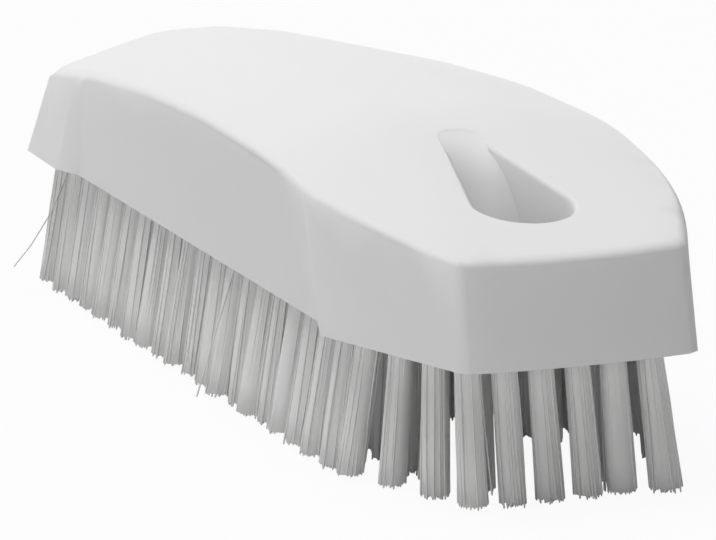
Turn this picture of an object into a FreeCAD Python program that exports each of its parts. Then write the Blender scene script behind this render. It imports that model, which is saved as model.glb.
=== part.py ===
"""Nail brush: one moulded block with a hanging eye, and rows of bristle tufts, each stapled in a blind hole.

Millimetres and degrees. The origin is below the middle of the brush at the bristle tips, +X points to the
end with the hanging eye, +Z up. Heights named in the sheet count from the block's flat underside.
"""
import FreeCAD, Part
import math
import os
import re
import Sketcher

# Driving dimensions: alias and value
SIZES = [
    # plan of the underside, half widths either side of the middle plane
    ("block_length", 118.0),
    ("end_bow", 0.8),
    ("near_half", 12.9),
    ("near_taper", 21.0),
    ("near_shoulder_half", 20.5),
    ("grip_near_inset", 27.3),
    ("grip_far_inset", 15.4),
    ("grip_half", 18.5),
    ("far_shoulder_inset", 11.5),
    ("far_shoulder_half", 19.9),
    ("far_half", 19.6),
    ("corner_cut", 0.9),
    # how far each corner of the plan has moved in, once the walls have climbed to wall_rise
    ("wall_rise", 20.0),
    ("near_set", 4.7),
    ("near_lean", 0.2),
    ("near_shoulder_set", 10.2),
    ("near_shoulder_lean", 0.9),
    ("grip_near_set", 10.9),
    ("grip_near_flare", 2.2),
    ("grip_far_lean", 1.6),
    ("grip_bulge", 0.5),
    ("taper_bow", 1.6),
    ("far_shoulder_lean", 4.3),
    ("far_set", 3.6),
    ("far_lean", 5.1),
    # arched back: a flat crest between two sloping facets, and a nose that slopes down to the near end
    ("crown_height", 18.3),
    ("arch_x", 4.0),
    ("arch_radius", 340.0),
    ("crest_half", 6.5),
    ("crest_soft", 1.2),
    ("facet_angle", 15.0),
    ("nose_inset", 3.4),
    ("nose_height", 11.15),
    ("nose_angle", 10.5),
    ("cut_overrun", 3.0),
    # bevels that break the edge between walls and back, and the rim of the eye
    ("eave_inset", 0.8),
    ("eave_drop", 0.8),
    ("rim_bevel", 0.7),
    ("sew_tolerance", 0.01),
    # hanging eye: nearly round at the underside, drawn out to a teardrop on the nose
    ("eye_inset", 16.8),
    ("eye_length", 17.4),
    ("eye_radius", 4.2),
    ("eye_rim_radius", 5.2),
    ("eye_tip_radius", 1.7),
    # bristle tufts and their staples
    ("bristle_length", 15.3),
    ("tuft_radius", 1.6),
    ("hole_depth", 8.0),
    ("row_pitch", 4.6),
    ("tuft_pitch", 4.4),
    ("far_inset", 4.2),
    ("near_inset", 7.5),
    ("edge_inset", 3.1),
    ("taper_inset", 5.2),
    ("eye_wall", 1.0),
    ("side_splay", 2.3),
    ("far_splay", 1.0),
    ("near_splay", 3.0),
    ("staple_height", 1.8),
    ("staple_thickness", 0.4),
]

# Crest growth in half width for each unit of length towards the near end
CREST_SPREAD_SHARE = 0.045
# Section planes of the back, evenly spaced from past the far end to past the near end
STATIONS = 17
# What is left of the facet angle at the last stations: the back flattens out across, down to the nose
NOSE_FACET_SHARES = (0.95, 0.93, 0.87, 0.82, 0.80, 0.75, 0.60, 0.45, 0.33, 0.20, 0.08, 0.02)
# The splay of the tufts grows with these odd powers of the distance from the middle
END_SPLAY_POWER = 5
SIDE_SPLAY_POWER = 3
TUFT_SIDES = 6

document = FreeCAD.newDocument("nail_brush")
sheet = document.addObject("Spreadsheet::Sheet", "Sizes")
for row, (alias, number) in enumerate(SIZES, start=1):
    sheet.set(f"A{row}", alias)
    sheet.set(f"B{row}", str(number))
    sheet.setAlias(f"B{row}", alias)
document.recompute()


def size(alias):
    """The value of one driving dimension."""
    return float(sheet.get(alias))


def sized(text):
    """A formula of driving dimensions, written with bare aliases, as an expression that names the sheet."""
    names = "|".join(alias for alias, number in SIZES)
    return re.sub(rf"\b({names})\b", r"Sizes.\1", text)


def worth(text):
    """The number that such a formula gives."""
    return float(sheet.evalExpression(sized(text)))


def add_piece(name, shape):
    """An object with a ready shape, whose sizes come from the sheet through the functions below."""
    piece = document.addObject("Part::Feature", name)
    piece.Label = name
    piece.Shape = shape
    piece.Placement = FreeCAD.Placement()
    return piece


# Sketches

def plane_of(body, role):
    """One of a body's own origin planes."""
    return next(item for item in body.Origin.OriginFeatures if item.Role == role)


def sketch_on(body, name, role, offset):
    """An empty sketch parallel to an origin plane, moved along its normal by a formula."""
    sketch = body.newObject("Sketcher::SketchObject", name)
    sketch.AttachmentSupport = [(plane_of(body, role), "")]
    sketch.MapMode = "FlatFace"
    sketch.setExpression("AttachmentOffset.Base.z", sized(offset))
    return sketch


def pin(sketch, kind, geometry, point, text):
    """Hold one coordinate of a point at a formula, measured from the sketch's origin."""
    distance = worth(text)
    if distance < 0:
        ends = (geometry, point, -1, 1)
        text = f"-1 * ( {text} )"
    else:
        ends = (-1, 1, geometry, point)
    index = sketch.addConstraint(Sketcher.Constraint(kind, *ends, abs(distance)))
    sketch.setExpression(f"Constraints[{index}]", sized(text))


def bend(sketch, arc, text):
    """Hold an arc's radius at a formula."""
    index = sketch.addConstraint(Sketcher.Constraint("Radius", arc, worth(text)))
    sketch.setExpression(f"Constraints[{index}]", sized(text))


def draw_outline(sketch, corners, bows):
    """Draw a closed counterclockwise outline.

    Sides whose number is in bows are arcs, given by the formula of their rise.
    """
    places = [FreeCAD.Vector(worth(across), worth(along), 0) for across, along in corners]
    count = len(corners)
    for side in range(count):
        start, end = places[side], places[(side + 1) % count]
        if side in bows:
            chord = end - start
            outward = FreeCAD.Vector(chord.y, -chord.x, 0).normalize()
            middle = (start + end) / 2 + outward * worth(bows[side])
            sketch.addGeometry(Part.Arc(start, middle, end))
        else:
            sketch.addGeometry(Part.LineSegment(start, end))
    for side in range(count):
        sketch.addConstraint(Sketcher.Constraint("Coincident", side, 2, (side + 1) % count, 1))
        across, along = corners[side]
        pin(sketch, "DistanceX", side, 1, across)
        pin(sketch, "DistanceY", side, 1, along)
    for side, rise in bows.items():
        (x_1, y_1), (x_2, y_2) = corners[side], corners[(side + 1) % count]
        chord_square = f"( ( {x_1} - ( {x_2} ) ) ^ 2 + ( {y_1} - ( {y_2} ) ) ^ 2 )"
        radius = f"{chord_square} / ( 8 * {rise} ) + {rise} / 2"
        bend(sketch, side, radius)


def both_sides(half):
    """A counterclockwise outline from the corners of its +Y half, listed from the near end to the far end."""
    mirrored = [(x, f"-1 * ( {y} )") for x, y in reversed(half)]
    return [mirrored[-1]] + half + mirrored[:-1]


# Block

END_X = "( block_length / 2 - end_bow )"
NOSE_X = "( block_length / 2 - nose_inset )"
EYE_X = "( block_length / 2 - eye_inset )"

# Corners of the plan on the +Y side, from the near end to the far end
LOWER_CORNERS = [
    (END_X, "near_half"),
    (f"( {END_X} - near_taper )", "near_shoulder_half"),
    (f"( {END_X} - grip_near_inset )", "grip_half"),
    (f"( grip_far_inset - {END_X} )", "grip_half"),
    (f"( far_shoulder_inset - {END_X} )", "far_shoulder_half"),
    (f"( -1 * {END_X} )", "far_half"),
]
UPPER_CORNERS = [
    (f"( {END_X} - near_set )", "( near_half - near_lean )"),
    (f"( {END_X} - near_taper - near_shoulder_set )", "( near_shoulder_half - near_shoulder_lean )"),
    (f"( {END_X} - grip_near_inset - grip_near_set )", "( grip_half + grip_near_flare )"),
    (f"( grip_far_inset - {END_X} )", "( grip_half - grip_far_lean )"),
    (f"( far_shoulder_inset - {END_X} )", "( far_shoulder_half - far_shoulder_lean )"),
    (f"( far_set - {END_X} )", "( far_half - far_lean )"),
]


def break_corner(corner, neighbour):
    """Where a bevel of corner_cut meets the end face and the long side that runs to the neighbour."""
    (x, y), (x_2, y_2) = corner, neighbour
    step = f"corner_cut * ( {x_2} - {x} ) / abs({x_2} - {x})"
    rise = f"corner_cut * ( {y_2} - {y} ) / abs({x_2} - {x})"
    return (x, f"( {y} - corner_cut )"), (f"( {x} + {step} )", f"( {y} + {rise} )")


def plan_half(corners, inset):
    """The +Y half of a plan with its end corners broken, drawn in by an inset all round."""
    near_end, near_side = break_corner(corners[0], corners[1])
    far_end, far_side = break_corner(corners[-1], corners[-2])
    half = [near_end, near_side, *corners[1:-1], far_side, far_end]
    drawn = [(x, f"( {y} - {inset} )") for x, y in half]
    near, middle, far = drawn[:2], drawn[2:-2], drawn[-2:]
    near = [(f"( {x} - {inset} )", y) for x, y in near]
    far = [(f"( {x} + {inset} )", y) for x, y in far]
    return near + middle + far


# The corners of such a half in order, by name
PLAN_CORNERS = [
    "near_end", "near_side", "near_shoulder", "grip_near", "grip_far", "far_shoulder", "far_side", "far_end",
]


def plan_bows(bows):
    """The bowed sides of a plan: both ends, and the pairs that start at the named corners of the half."""
    count = len(PLAN_CORNERS)
    sides = {0: "end_bow", count: "end_bow"}
    for corner, rise in bows.items():
        side = PLAN_CORNERS.index(corner) + 1
        sides[side] = rise
        sides[2 * count - side] = rise
    return sides


def make_walls(name, inset):
    """The walls, drawn in by an inset: a ruled loft from the underside's plan to the plan at wall_rise."""
    body = document.addObject("PartDesign::Body", name)
    lower = sketch_on(body, f"{name}_underside", "XY_Plane", "bristle_length")
    draw_outline(lower, both_sides(plan_half(LOWER_CORNERS, inset)), plan_bows({}))
    upper = sketch_on(body, f"{name}_top", "XY_Plane", "bristle_length + wall_rise")
    bows = plan_bows({"near_side": "taper_bow", "grip_near": "grip_bulge"})
    draw_outline(upper, both_sides(plan_half(UPPER_CORNERS, inset)), bows)
    document.recompute()
    loft = body.newObject("PartDesign::AdditiveLoft", f"{name}_loft")
    loft.Profile = lower
    loft.Sections = [upper]
    loft.Ruled = True
    document.recompute()
    return body


def back_section(body, name, station, crest, slope):
    """What is cut away above the back at one station: its lower side is the crest and the two facets."""
    side = "( max(near_shoulder_half; far_shoulder_half) + cut_overrun )"
    crest_half = f"( crest_half + {CREST_SPREAD_SHARE} * ( {station} ) )"
    crest_top = f"bristle_length + {crest}"
    facet_foot = f"{crest_top} - ( {side} - {crest_half} ) * tan({slope} * 1 deg)"
    roof = "bristle_length + wall_rise + cut_overrun"
    sketch = sketch_on(body, name, "YZ_Plane", station)
    half = [
        (side, roof),
        (side, facet_foot),
        (f"( {crest_half} + crest_soft )", f"{crest_top} - crest_soft * tan({slope} * 1 deg)"),
        (f"( {crest_half} - crest_soft )", crest_top),
    ]
    draw_outline(sketch, [(f"-1 * {y}", z) for y, z in half] + half[::-1], {})
    return sketch


def make_back():
    """What is cut away above the back: one smooth loft through sections along the arch and down the nose."""
    body = document.addObject("PartDesign::Body", "back_cut")
    last = STATIONS - 1
    facet_shares = (1,) * (STATIONS - len(NOSE_FACET_SHARES)) + NOSE_FACET_SHARES
    sections = []
    for number, share in enumerate(facet_shares):
        x = f"( {2 * number - last} / {last} * ( block_length / 2 + cut_overrun ) )"
        arch = f"crown_height - ( {x} - arch_x ) ^ 2 / ( 2 * arch_radius )"
        nose = f"nose_height + ( {NOSE_X} - {x} ) * tan(nose_angle * 1 deg)"
        crest = f"min({arch}; {nose})"
        slope = f"{share} * facet_angle"
        sections.append(back_section(body, f"back_section_{number + 1}", x, crest, slope))
    document.recompute()
    loft = body.newObject("PartDesign::AdditiveLoft", "back_loft")
    loft.Profile = sections[0]
    loft.Sections = sections[1:]
    document.recompute()
    return body


def comes_down(item):
    """Whether an edge or a face reaches the lower half of the block, as the walls do and the back doesn't."""
    half_up = size("bristle_length") + size("nose_height") / 2
    return min(corner.Z for corner in item.Vertexes) < half_up


def eave_edges(shape):
    """The edges where the walls meet the back."""
    edges = []
    for edge in shape.Edges:
        faces = shape.ancestorsOfType(edge, Part.Face)
        if not comes_down(edge) and sum(map(comes_down, faces)) == 1:
            edges.append(edge)
    return edges


def middle_of(edge):
    """The point halfway along an edge's curve."""
    return edge.valueAt((edge.FirstParameter + edge.LastParameter) / 2)


def bevel_between(edge, edges):
    """A ruled strip from an edge to the nearest of some other edges."""
    middle = middle_of(edge)
    partner = min(edges, key=lambda other: middle.distanceToPoint(middle_of(other)))
    return Part.makeRuledSurface(edge, partner)


def bevel_eaves(walls, inset_walls, back):
    """The block with a bevel round its back, eave_drop down the walls and eave_inset in from them."""
    lowered = back.translated(FreeCAD.Vector(0, 0, -size("eave_drop")))
    outer = walls.cut(lowered)
    inner = inset_walls.cut(back)
    inner_edges = eave_edges(inner)
    faces = [face for face in outer.Faces if comes_down(face)]
    faces += [face for face in inner.Faces if not comes_down(face)]
    faces += [bevel_between(edge, inner_edges) for edge in eave_edges(outer)]
    shell = Part.makeShell(faces)
    shell.sewShape(size("sew_tolerance"))
    return Part.Solid(shell)


def teardrop(sketch, center, radius, tip, tip_radius):
    """A round end and a smaller round tip on the X axis, joined by the two lines that touch both."""
    reach = worth(center) - worth(tip)
    turn = math.acos((worth(radius) - worth(tip_radius)) / reach)
    for place, text, first, last in (
        (center, radius, turn - math.pi, math.pi - turn),
        (tip, tip_radius, math.pi - turn, math.pi + turn),
    ):
        circle = Part.Circle(FreeCAD.Vector(worth(place), 0, 0), FreeCAD.Vector(0, 0, 1), worth(text))
        sketch.addGeometry(Part.ArcOfCircle(circle, first, last))
    near, far = 0, 1
    upper = sketch.addGeometry(Part.LineSegment(sketch.getPoint(near, 2), sketch.getPoint(far, 1)))
    lower = sketch.addGeometry(Part.LineSegment(sketch.getPoint(far, 2), sketch.getPoint(near, 1)))
    for line, start, end in ((upper, near, far), (lower, far, near)):
        sketch.addConstraint(Sketcher.Constraint("Tangent", start, 2, line, 1))
        sketch.addConstraint(Sketcher.Constraint("Tangent", line, 2, end, 1))
    for arc, place, text in ((near, center, radius), (far, tip, tip_radius)):
        sketch.addConstraint(Sketcher.Constraint("PointOnObject", arc, 3, -1))
        pin(sketch, "DistanceX", arc, 3, place)
        bend(sketch, arc, text)


def sketch_on_nose(body, name, lift):
    """An empty sketch parallel to the nose, lifted off it by a formula, with its origin at the near end."""
    sketch = sketch_on(body, name, "XY_Plane", f"bristle_length + nose_height + {lift}")
    offset = sketch.AttachmentOffset
    offset.Rotation = FreeCAD.Rotation(FreeCAD.Vector(0, 1, 0), size("nose_angle"))
    sketch.AttachmentOffset = offset
    sketch.setExpression("AttachmentOffset.Rotation.Angle", "Sizes.nose_angle * 1 deg")
    sketch.setExpression("AttachmentOffset.Base.x", sized(NOSE_X))
    return sketch


def make_eye():
    """What is cut away for the hanging eye: a scoop up to its rim, and a bevel round the rim."""
    body = document.addObject("PartDesign::Body", "eye_cut")
    below = sketch_on(body, "eye_below", "XY_Plane", "bristle_length - cut_overrun")
    teardrop(below, EYE_X, "eye_radius", f"{EYE_X} - eye_tip_radius", "eye_radius - eye_tip_radius / 2")
    center = f"( {EYE_X} - {NOSE_X} ) / cos(nose_angle * 1 deg)"
    tip = f"( {EYE_X} - eye_length - {NOSE_X} ) / cos(nose_angle * 1 deg)"
    rim = sketch_on_nose(body, "eye_rim", "-1 * rim_bevel")
    teardrop(rim, center, "eye_rim_radius", tip, "eye_tip_radius")
    flare = sketch_on_nose(body, "eye_flare", "rim_bevel")
    teardrop(flare, center, "eye_rim_radius + 2 * rim_bevel", tip, "eye_tip_radius + 2 * rim_bevel")
    document.recompute()
    for name, lower, upper in (("scoop", below, rim), ("rim_bevel_loft", rim, flare)):
        loft = body.newObject("PartDesign::AdditiveLoft", name)
        loft.Profile = lower
        loft.Sections = [upper]
        loft.Ruled = True
        document.recompute()
    return body


def make_moulding():
    """The moulded block before its tuft holes are drilled."""
    walls = make_walls("walls", "0")
    inset_walls = make_walls("inset_walls", "eave_inset")
    back = make_back()
    block = add_piece("bevelled_block", bevel_eaves(walls.Shape, inset_walls.Shape, back.Shape))
    moulding = document.addObject("Part::Cut", "moulding")
    moulding.Base = block
    moulding.Tool = make_eye()
    document.recompute()
    return moulding


# Tufts

def field_ends():
    """Stations of the first and the last crosswise row, at the far and the near end."""
    return worth("far_inset - block_length / 2"), worth("block_length / 2 - near_inset")


def field_half():
    """Half width of the tuft field: its columns run straight, clear of the narrowest part of the sides."""
    halves = ("near_shoulder_half", "grip_half", "far_shoulder_half", "far_half")
    return min(size(half) for half in halves) - size("edge_inset")


def row_stations():
    """Evenly spaced stations of the crosswise rows."""
    far, near = field_ends()
    steps = round((near - far) / size("row_pitch"))
    return [far + (near - far) * number / steps for number in range(steps + 1)]


def clear_of_eye(x, y):
    """Whether a tuft hole leaves a wall round the hanging eye."""
    center, length = worth(EYE_X), size("eye_length")
    tip = center - length
    along = min(max((x - tip) / length, 0), 1)
    reach = size("eye_tip_radius") + (size("eye_rim_radius") - size("eye_tip_radius")) * along
    gap = math.hypot(x - tip - length * along, y)
    return gap > reach + size("eye_wall") + size("tuft_radius")


def row_places(x):
    """Where the tufts of one row leave the underside: evenly across the field, clear of the hanging eye."""
    taper = (size("near_shoulder_half") - size("near_half")) / size("near_taper")
    taper_half = size("near_half") + taper * (worth(END_X) - x)
    outer = min(field_half(), taper_half - size("taper_inset"))
    count = 2 * max(1, round(outer / size("tuft_pitch") + 0.5))
    places = [-outer + 2 * outer * number / (count - 1) for number in range(count)]
    return [(x, y) for y in places if clear_of_eye(x, y)]


def splay(x, y):
    """How far a tuft's tip stands out from its root: most at the edges of the field."""
    far, near = field_ends()
    along = (2 * x - far - near) / (near - far)
    end = size("near_splay" if along > 0 else "far_splay") * along ** END_SPLAY_POWER
    side = size("side_splay") * (y / field_half()) ** SIDE_SPLAY_POWER
    return FreeCAD.Vector(end, side, 0)


def leaning_prism(corners, place, low, high):
    """A prism with level ends that follows a tuft's lean from one height above the underside to another."""
    x, y = place
    lean = splay(x, y) * (-1 / size("bristle_length")) + FreeCAD.Vector(0, 0, 1)
    start = FreeCAD.Vector(x, y, size("bristle_length")) + lean * low
    points = [start + corner for corner in corners]
    face = Part.Face(Part.makePolygon(points + points[:1]))
    return face.extrude(lean * (high - low))


def tuft_corners():
    """The bundle's cross-section, with two flat sides facing across the brush."""
    turns = [2 * math.pi * side / TUFT_SIDES for side in range(TUFT_SIDES)]
    return [FreeCAD.Vector(math.cos(turn), math.sin(turn), 0) * size("tuft_radius") for turn in turns]


def staple_corners():
    """The staple seen from below: a flat strip that spans the hole from side to side."""
    wide = size("tuft_radius") * math.cos(math.pi / TUFT_SIDES)
    thick = size("staple_thickness") / 2
    signs = ((-1, -1), (1, -1), (1, 1), (-1, 1))
    return [FreeCAD.Vector(across * thick, along * wide, 0) for across, along in signs]


def make_hole(place):
    """A tuft's blind hole, drilled along the tuft's lean and out past its tips."""
    return leaning_prism(tuft_corners(), place, -size("bristle_length"), size("hole_depth"))


def make_tuft(place):
    """A tuft from its cut tips up to the staple that holds it."""
    root = size("hole_depth") - size("staple_height")
    return leaning_prism(tuft_corners(), place, -size("bristle_length"), root)


def make_staple(place):
    """A staple that spans the hole behind a tuft, down to the hole's bottom."""
    high = size("hole_depth")
    return leaning_prism(staple_corners(), place, high - size("staple_height"), high)


def make_pieces():
    """Every node: the drilled block, and a row of tufts and a row of staples at each station."""
    moulding = make_moulding()
    rows = [row_places(x) for x in row_stations()]
    drills = add_piece("tuft_holes", Part.makeCompound([make_hole(place) for row in rows for place in row]))
    block = document.addObject("Part::Cut", "brush_block")
    block.Base = moulding
    block.Tool = drills
    pieces = [block]
    for number, places in enumerate(rows, start=1):
        for name, make in (("tuft_row", make_tuft), ("staple_row", make_staple)):
            solids = [make(place) for place in places]
            pieces.append(add_piece(f"{name}_{number:02d}", Part.makeCompound(solids)))
    document.recompute()
    return pieces


def check(pieces):
    """Stop if any object failed, or a node has no sound shape."""
    for item in document.Objects:
        if "Invalid" in item.State or "Error" in item.State:
            raise RuntimeError(f"{item.Label} failed: {item.State}")
    for piece in pieces:
        if piece.Shape.isNull() or not piece.Shape.isValid():
            raise RuntimeError(f"{piece.Label} has no valid shape")


def main():
    pieces = make_pieces()
    check(pieces)
    os.makedirs("parts", exist_ok=True)
    for piece in pieces:
        piece.Shape.exportStep(os.path.join("parts", f"{piece.Label}.step"))
    print(len(pieces), "nodes,", sum(len(piece.Shape.Solids) for piece in pieces), "solids")


main()
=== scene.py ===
"""Looks of the nail brush: a satin white block, bristle tufts made of single filaments, steel staples.

Metres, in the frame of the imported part: +X towards the hanging eye, +Z up, bristle tips on the floor.
"""
import math

import bpy
import numpy as np
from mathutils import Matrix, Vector


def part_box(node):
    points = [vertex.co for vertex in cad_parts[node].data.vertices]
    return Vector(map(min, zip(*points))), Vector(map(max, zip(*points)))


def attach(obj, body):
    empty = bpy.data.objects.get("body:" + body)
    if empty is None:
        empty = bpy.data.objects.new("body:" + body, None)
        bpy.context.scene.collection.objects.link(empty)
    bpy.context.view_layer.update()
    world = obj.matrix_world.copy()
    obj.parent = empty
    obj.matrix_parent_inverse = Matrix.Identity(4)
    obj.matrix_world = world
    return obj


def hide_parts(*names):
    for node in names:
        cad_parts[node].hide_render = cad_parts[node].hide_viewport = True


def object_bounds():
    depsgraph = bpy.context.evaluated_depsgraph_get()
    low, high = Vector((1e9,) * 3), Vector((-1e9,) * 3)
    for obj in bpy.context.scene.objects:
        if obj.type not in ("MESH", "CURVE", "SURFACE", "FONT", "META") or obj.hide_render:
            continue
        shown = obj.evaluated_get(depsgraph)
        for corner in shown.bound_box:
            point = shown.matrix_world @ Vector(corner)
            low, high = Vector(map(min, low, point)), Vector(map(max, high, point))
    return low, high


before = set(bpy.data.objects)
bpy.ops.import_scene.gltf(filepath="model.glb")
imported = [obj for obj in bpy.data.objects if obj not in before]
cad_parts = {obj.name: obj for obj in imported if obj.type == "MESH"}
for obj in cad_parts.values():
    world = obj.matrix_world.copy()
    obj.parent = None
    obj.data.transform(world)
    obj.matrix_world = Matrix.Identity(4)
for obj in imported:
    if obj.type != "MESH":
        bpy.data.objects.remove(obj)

cad_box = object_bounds()
MM = 0.001
PHOTO_WIDTH = 716

# Camera, fitted to the edges of the block in the photograph
VIEW_AZIMUTH = math.radians(68.5)
VIEW_ELEVATION = math.radians(13.4)
VIEW_DISTANCE = 880 * MM
FOCAL_PIXELS = 8069
SENSOR_WIDTH = 36
CLIP_START = 10 * MM
TARGET_X = -4.3 * MM
TARGET_DROP = 4.0 * MM

# Filaments: how many to a tuft, how they are bundled, and how they start inside the hole
FILAMENTS = 90
FILAMENT_RADIUS = 0.1 * MM
FILAMENT_SIDES = 5
BUNDLE_RADIUS = 1.27 * MM
GOLDEN_TURN = math.pi * (3 - math.sqrt(5))
ROOT_DEPTH = 2.0 * MM
RING_STEPS = (0.0, 0.3, 0.58, 0.82, 1.0)
# How a tuft opens towards its tips, and how tufts and filaments stray from their places
TIP_SPREAD = (1.12, 1.36)
TUFT_STRAY = 0.25 * MM
TIP_STRAY = 0.15 * MM
BOW = 0.08 * MM
WILD_SHARE = 0.001
WILD_STRAY = 2.6 * MM
# How unevenly the tips are cut, and how they are rounded
TUFT_TRIM = 0.3 * MM
TIP_TRIM = 0.5 * MM
SHORT_SHARE = 0.08
SHORT_TRIM = 1.4 * MM
TIP_ROUND = 0.1 * MM
TIP_SHARE = 0.55
# The packed core of a tuft, which shows between its outer filaments
CORE_SHARE = 0.99
CORE_TRIM = 0.6 * MM
CORE_SIDES = 12
# One filament that has sprung out of the tuft at the far left corner
STRAY_ROW = "tuft_row_01"
STRAY_BEND = (-1.1 * MM, -4.4 * MM, 1.9 * MM)
# Slack when the ends and corners of the plain tufts are picked out
LEVEL_SLACK = 0.4 * MM
CORNER_SLACK = 0.1 * MM

# Materials
PLASTIC_COLOR = (0.88, 0.88, 0.88)
PLASTIC_ROUGHNESS = 0.4
PLASTIC_SHINE = 0.12
GLOW_WEIGHT = 0.2
GLOW_DEPTH = 1.5 * MM
GRAIN_SCALE = 1400
GRAIN_DETAIL = 3
GRAIN_STRENGTH = 0.12
GRAIN_DEPTH = 0.05 * MM
FILAMENT_COLOR = (0.9, 0.9, 0.895)
FILAMENT_ROUGHNESS = 0.5
FILAMENT_SHINE = 0.3
STEEL_COLOR = (0.72, 0.72, 0.7)
STEEL_ROUGHNESS = 0.3
STEEL_SHINE = 0.5

# Light, in metres and watts
SOFTBOX_PLACE = (-0.1, -0.15, 0.9)
SOFTBOX_SIZE = 0.8
SOFTBOX_POWER = 6.75
FILL_PLACE = (0.6, -0.66, 0.06)
FILL_SIZE = 0.4
FILL_POWER = 1.25
ROOM_BEHIND = 0.3
ROOM_IN_FRONT = 0.1
FLOOR_SIZE = 6
FLOOR_COLOR = (0.7, 0.7, 0.7)
FLOOR_WHITE_SHARE = 0.94

# Shading of the block
WELD_REACH = 0.02 * MM
FLAT_ANGLE = math.radians(1)
CORNER_ANGLE = math.radians(60)
BROAD_FACE_WEIGHT = 100

# Run-out at the pointed end of the hanging eye, in mm: inset from the near end, height above the underside,
# and a drop whose roll grows with the cube of the way along it
RUNOUT_INSET = 36.7
RUNOUT_HEIGHT = 17.2
RUNOUT_LENGTH = 12.8
RUNOUT_SLOPE = 0.27
RUNOUT_ROLL = 0.0064
RUNOUT_HALF = 2.1
RUNOUT_SPREAD = 0.2
RUNOUT_THICKNESS = 0.6
RUNOUT_STEPS = 24
NOSE_SLOPE = math.tan(math.radians(10.5))

SEED = 20
random = np.random.default_rng(SEED)


# Materials

def new_material(name, color, roughness, shine):
    """A plain principled material and its shader node."""
    material = bpy.data.materials.new(name)
    material.use_nodes = True
    shader = material.node_tree.nodes["Principled BSDF"]
    shader.inputs["Base Color"].default_value = (*color, 1)
    shader.inputs["Roughness"].default_value = roughness
    shader.inputs["Specular IOR Level"].default_value = shine
    return material, shader


def add_grain(material, shader):
    """A fine moulded grain, as a bump from noise in the object's own space."""
    nodes, links = material.node_tree.nodes, material.node_tree.links
    place = nodes.new("ShaderNodeTexCoord")
    noise = nodes.new("ShaderNodeTexNoise")
    noise.inputs["Scale"].default_value = GRAIN_SCALE
    noise.inputs["Detail"].default_value = GRAIN_DETAIL
    bump = nodes.new("ShaderNodeBump")
    bump.inputs["Strength"].default_value = GRAIN_STRENGTH
    bump.inputs["Distance"].default_value = GRAIN_DEPTH
    links.new(place.outputs["Object"], noise.inputs["Vector"])
    links.new(noise.outputs["Fac"], bump.inputs["Height"])
    links.new(bump.outputs["Normal"], shader.inputs["Normal"])


def add_glow_through(shader):
    """Let some light scatter below the surface."""
    shader.inputs["Subsurface Weight"].default_value = GLOW_WEIGHT
    shader.inputs["Subsurface Radius"].default_value = (1, 1, 1)
    shader.inputs["Subsurface Scale"].default_value = GLOW_DEPTH


def make_plastic():
    """Satin white polypropylene."""
    material, shader = new_material("block_plastic", PLASTIC_COLOR, PLASTIC_ROUGHNESS, PLASTIC_SHINE)
    add_glow_through(shader)
    add_grain(material, shader)
    return material


def make_filament():
    """White polyester filament."""
    material, shader = new_material("bristle", FILAMENT_COLOR, FILAMENT_ROUGHNESS, FILAMENT_SHINE)
    return material


def make_steel():
    """Drawn stainless strip."""
    material, shader = new_material("staple", STEEL_COLOR, STEEL_ROUGHNESS, STEEL_SHINE)
    shader.inputs["Metallic"].default_value = 1
    return material


def dress(node, material):
    """Give a CAD node one material."""
    node.data.materials.clear()
    node.data.materials.append(material)


def soften_edges(block):
    """Shade the narrow bevels of the block as roundings between its broad faces, and keep real corners.

    Small facets that lie in one plane are joined first, so that each bevel is shaded as one strip.
    """
    weld = block.modifiers.new("weld", "WELD")
    weld.merge_threshold = WELD_REACH
    flats = block.modifiers.new("flats", "DECIMATE")
    flats.decimate_type = "DISSOLVE"
    flats.angle_limit = FLAT_ANGLE
    split = block.modifiers.new("corners", "EDGE_SPLIT")
    split.split_angle = CORNER_ANGLE
    shading = block.modifiers.new("shading", "WEIGHTED_NORMAL")
    shading.weight = BROAD_FACE_WEIGHT


def make_runout(block_box, material):
    """The pointed end of the eye: a trough that leaves the nose gently and rolls over into the hole."""
    along = np.linspace(0, RUNOUT_LENGTH, RUNOUT_STEPS)[:, None]
    across = np.linspace(-1, 1, RUNOUT_STEPS)[None, :]
    drop = RUNOUT_SLOPE * along + RUNOUT_ROLL * along ** 3
    depth = drop - NOSE_SLOPE * along
    y = (RUNOUT_HALF + RUNOUT_SPREAD * along) * across
    x = np.broadcast_to(block_box[1][0] / MM - RUNOUT_INSET + along, y.shape)
    z = block_box[0][2] / MM + RUNOUT_HEIGHT - drop + depth * across ** 2
    points = np.stack([x, y, z], axis=-1).reshape(-1, 3) * MM
    faces = []
    for step in range(RUNOUT_STEPS - 1):
        for corner in range(step * RUNOUT_STEPS, (step + 1) * RUNOUT_STEPS - 1):
            beyond = corner + RUNOUT_STEPS
            faces.append((corner, beyond, beyond + 1, corner + 1))
    mesh = bpy.data.meshes.new("eye_runout")
    mesh.from_pydata(points.tolist(), [], faces)
    mesh.shade_smooth()
    mesh.materials.append(material)
    runout = bpy.data.objects.new("eye_runout", mesh)
    bpy.context.collection.objects.link(runout)
    thickness = runout.modifiers.new("thickness", "SOLIDIFY")
    thickness.thickness = RUNOUT_THICKNESS * MM
    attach(runout, "root")


# Bristles

def level_centers(points):
    """The middle of each tuft in one row, from the corners of the tufts' ends at one height.

    The tufts of a row stand at one X, and each has one corner that points along +X from its middle.
    """
    low, high = points[:, 0].min(), points[:, 0].max()
    corners = points[points[:, 0] > high - CORNER_SLACK]
    across = sorted({round(float(y), 5) for y in corners[:, 1]})
    return [np.array([(low + high) / 2, y, points[0, 2]]) for y in across]


def tuft_axes(node):
    """The root and tip of each tuft in a row, read from the row's solids."""
    points = np.array([vertex.co for vertex in node.data.vertices])
    low, high = points[:, 2].min(), points[:, 2].max()
    tips = level_centers(points[points[:, 2] < low + LEVEL_SLACK])
    roots = level_centers(points[points[:, 2] > high - LEVEL_SLACK])
    return list(zip(roots, tips))


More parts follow.
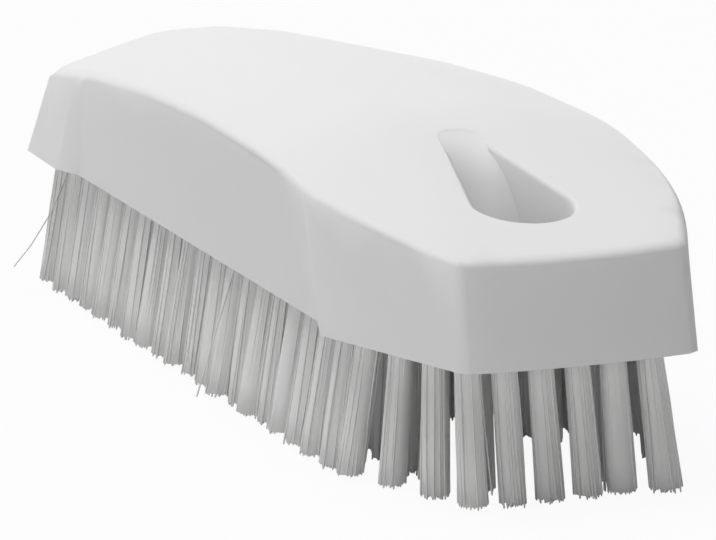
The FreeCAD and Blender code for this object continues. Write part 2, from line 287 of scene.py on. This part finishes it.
def bundle_offsets():
    """Where the filaments of a tuft lie in its hole: a sunflower pattern."""
    order = np.arange(FILAMENTS)
    reach = BUNDLE_RADIUS * np.sqrt((order + 0.5) / FILAMENTS)
    turn = order * GOLDEN_TURN
    return np.column_stack([reach * np.cos(turn), reach * np.sin(turn), np.zeros(FILAMENTS)])


def tuft_tubes(root, tip, mouth_height):
    """The center lines of a tuft's filaments, from inside its hole to their cut ends, and its packed core."""
    offsets = bundle_offsets()
    start_height = mouth_height + ROOT_DEPTH
    start = tip + (root - tip) * (start_height - tip[2]) / (root[2] - tip[2])
    spread = random.uniform(*TIP_SPREAD)
    middle = tip + random.normal(0, TUFT_STRAY, 3) * (1, 1, 0)
    ends = middle + offsets * spread
    ends += random.normal(0, TIP_STRAY, (FILAMENTS, 3)) * (1, 1, 0)
    wild = random.random(FILAMENTS) < WILD_SHARE
    ends += random.normal(0, WILD_STRAY, (FILAMENTS, 3)) * (1, 1, 0) * wild[:, None]
    short = random.random(FILAMENTS) < SHORT_SHARE
    trim = random.uniform(0, TUFT_TRIM) + random.uniform(0, TIP_TRIM, FILAMENTS)
    ends[:, 2] = tip[2] + TIP_ROUND + trim + short * random.uniform(0, SHORT_TRIM, FILAMENTS)
    bows = random.normal(0, BOW, (FILAMENTS, 3)) * (1, 1, 0)
    steps = np.array(RING_STEPS)[:, None]
    lines = (start + offsets)[:, None, :] * (1 - steps) + ends[:, None, :] * steps
    lines += bows[:, None, :] * np.sin(np.pi * steps)
    core = start * (1 - steps) + (middle + np.array([0, 0, CORE_TRIM])) * steps
    core_radii = CORE_SHARE * BUNDLE_RADIUS * (1 + (spread - 1) * np.array(RING_STEPS))
    return lines, core, core_radii


def tubes(lines, radii, sides, cap):
    """Points and faces of closed tubes along some lines, each drawn in at its cut end over a cap's height."""
    turns = 2 * np.pi * np.arange(sides) / sides
    ring = np.column_stack([np.cos(turns), np.sin(turns), np.zeros(sides)])
    centers = np.concatenate([lines, lines[:, -1:, :] - np.array([0, 0, cap])], axis=1)
    radii = np.concatenate([radii, radii[:, -1:] * TIP_SHARE], axis=1)
    points = centers[:, :, None, :] + ring * radii[:, :, None, None]
    count, levels = radii.shape
    faces = []
    for first in range(0, count * levels * sides, levels * sides):
        for upper in range(first, first + (levels - 1) * sides, sides):
            lower = upper + sides
            for side in range(sides):
                after = (side + 1) % sides
                faces.append((upper + side, lower + side, lower + after, upper + after))
        last = first + (levels - 1) * sides
        faces.append(tuple(range(first, first + sides)))
        faces.append(tuple(reversed(range(last, last + sides))))
    return points.reshape(-1, 3), faces


def bristle_mesh(name, tufts):
    """One mesh of the filaments and cores of a row of tufts."""
    lines = np.concatenate([filaments for filaments, core, radii in tufts])
    cores = np.array([core for filaments, core, radii in tufts])
    core_radii = np.array([radii for filaments, core, radii in tufts])
    line_radii = np.full(lines.shape[:2], FILAMENT_RADIUS)
    points, faces = tubes(lines, line_radii, FILAMENT_SIDES, TIP_ROUND)
    core_points, core_faces = tubes(cores, core_radii, CORE_SIDES, TIP_ROUND)
    shifted = [tuple(corner + len(points) for corner in face) for face in core_faces]
    mesh = bpy.data.meshes.new(name)
    mesh.from_pydata(np.concatenate([points, core_points]).tolist(), [], faces + shifted)
    mesh.shade_smooth()
    return mesh


def make_bristles(name, node, material, mouth_height):
    """The filaments of one row of tufts, in place of the row's plain solids."""
    tufts = [tuft_tubes(root, tip, mouth_height) for root, tip in tuft_axes(node)]
    if name == STRAY_ROW:
        left_tuft_lines = tufts[0][0]
        bend = np.array(RING_STEPS)[:, None] ** 2 * np.array(STRAY_BEND)
        left_tuft_lines[-1] += bend
    mesh = bristle_mesh(f"{name}_filaments", tufts)
    mesh.materials.append(material)
    bristles = bpy.data.objects.new(f"{name}_filaments", mesh)
    bpy.context.collection.objects.link(bristles)
    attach(bristles, "root")
    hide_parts(name)


# Stage

def seen_directly(nodes, links):
    """A socket that is 1 where the camera, a reflection or a clear body looks at the backdrop."""
    path = nodes.new("ShaderNodeLightPath")
    mirrored = nodes.new("ShaderNodeMath")
    mirrored.operation = "MAXIMUM"
    links.new(path.outputs["Is Camera Ray"], mirrored.inputs[0])
    links.new(path.outputs["Is Glossy Ray"], mirrored.inputs[1])
    seen = nodes.new("ShaderNodeMath")
    seen.operation = "MAXIMUM"
    links.new(mirrored.outputs[0], seen.inputs[0])
    links.new(path.outputs["Is Transmission Ray"], seen.inputs[1])
    return seen.outputs[0]


def make_floor():
    """A white floor under the bristle tips: white to the camera, with the brush's soft shadow."""
    bpy.ops.mesh.primitive_plane_add(size=FLOOR_SIZE, location=(0, 0, cad_box[0][2]))
    floor = bpy.context.object
    floor.name = "floor"
    material = bpy.data.materials.new("floor")
    material.use_nodes = True
    nodes, links = material.node_tree.nodes, material.node_tree.links
    nodes.clear()
    diffuse = nodes.new("ShaderNodeBsdfDiffuse")
    diffuse.inputs["Color"].default_value = (*FLOOR_COLOR, 1)
    glow = nodes.new("ShaderNodeEmission")
    share = nodes.new("ShaderNodeMath")
    share.operation = "MULTIPLY"
    share.inputs[1].default_value = FLOOR_WHITE_SHARE
    mix = nodes.new("ShaderNodeMixShader")
    output = nodes.new("ShaderNodeOutputMaterial")
    links.new(seen_directly(nodes, links), share.inputs[0])
    links.new(share.outputs[0], mix.inputs["Fac"])
    links.new(diffuse.outputs[0], mix.inputs[1])
    links.new(glow.outputs[0], mix.inputs[2])
    links.new(mix.outputs[0], output.inputs["Surface"])
    floor.data.materials.append(material)


def make_world():
    """Soft room light, dimmer in front of the brush, and white where it is seen directly."""
    world = bpy.data.worlds.new("room")
    bpy.context.scene.world = world
    world.use_nodes = True
    nodes, links = world.node_tree.nodes, world.node_tree.links
    background = nodes["Background"]
    background.inputs["Color"].default_value = (1, 1, 1, 1)
    place = nodes.new("ShaderNodeTexCoord")
    axes = nodes.new("ShaderNodeSeparateXYZ")
    room = nodes.new("ShaderNodeMapRange")
    room.inputs["From Min"].default_value = -1
    room.inputs["From Max"].default_value = 1
    room.inputs["To Min"].default_value = ROOM_BEHIND
    room.inputs["To Max"].default_value = ROOM_IN_FRONT
    level = nodes.new("ShaderNodeMapRange")
    level.inputs["To Max"].default_value = 1
    links.new(place.outputs["Generated"], axes.inputs["Vector"])
    links.new(axes.outputs["X"], room.inputs["Value"])
    links.new(room.outputs["Result"], level.inputs["To Min"])
    links.new(seen_directly(nodes, links), level.inputs["Value"])
    links.new(level.outputs["Result"], background.inputs["Strength"])


def add_softbox(name, place, aim, size, power):
    """A square area lamp that points at a place on the brush."""
    lamp = bpy.data.lights.new(name, "AREA")
    lamp.shape = "SQUARE"
    lamp.size = size
    lamp.energy = power
    softbox = bpy.data.objects.new(name, lamp)
    softbox.location = place
    softbox.rotation_euler = (Vector(aim) - Vector(place)).to_track_quat("-Z", "Y").to_euler()
    bpy.context.collection.objects.link(softbox)


def make_camera(underside):
    """The photograph's view."""
    camera = bpy.data.cameras.new("camera")
    camera.sensor_width = SENSOR_WIDTH
    camera.lens = FOCAL_PIXELS * SENSOR_WIDTH / PHOTO_WIDTH
    camera.clip_start = CLIP_START
    back = Vector((
        math.sin(VIEW_AZIMUTH) * math.cos(VIEW_ELEVATION),
        -math.cos(VIEW_AZIMUTH) * math.cos(VIEW_ELEVATION),
        math.sin(VIEW_ELEVATION)))
    target = Vector((TARGET_X, 0, underside - TARGET_DROP))
    holder = bpy.data.objects.new("camera", camera)
    holder.location = target + back * VIEW_DISTANCE
    holder.rotation_euler = (-back).to_track_quat("-Z", "Y").to_euler()
    bpy.context.collection.objects.link(holder)
    bpy.context.scene.camera = holder


def main():
    """Dress the parts, light them and set the camera."""
    bpy.context.scene.view_settings.view_transform = "Standard"
    underside = float(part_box("brush_block")[0][2])
    plastic, filament, steel = make_plastic(), make_filament(), make_steel()
    for name, node in sorted(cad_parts.items()):
        if name.startswith("tuft_row"):
            make_bristles(name, node, filament, underside)
        elif name.startswith("staple_row"):
            dress(node, steel)
        else:
            dress(node, plastic)
            soften_edges(node)
    make_runout(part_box("brush_block"), plastic)
    make_floor()
    make_world()
    middle = (0, 0, underside)
    add_softbox("overhead", SOFTBOX_PLACE, middle, SOFTBOX_SIZE, SOFTBOX_POWER)
    add_softbox("fill", FILL_PLACE, middle, FILL_SIZE, FILL_POWER)
    make_camera(underside)


main()
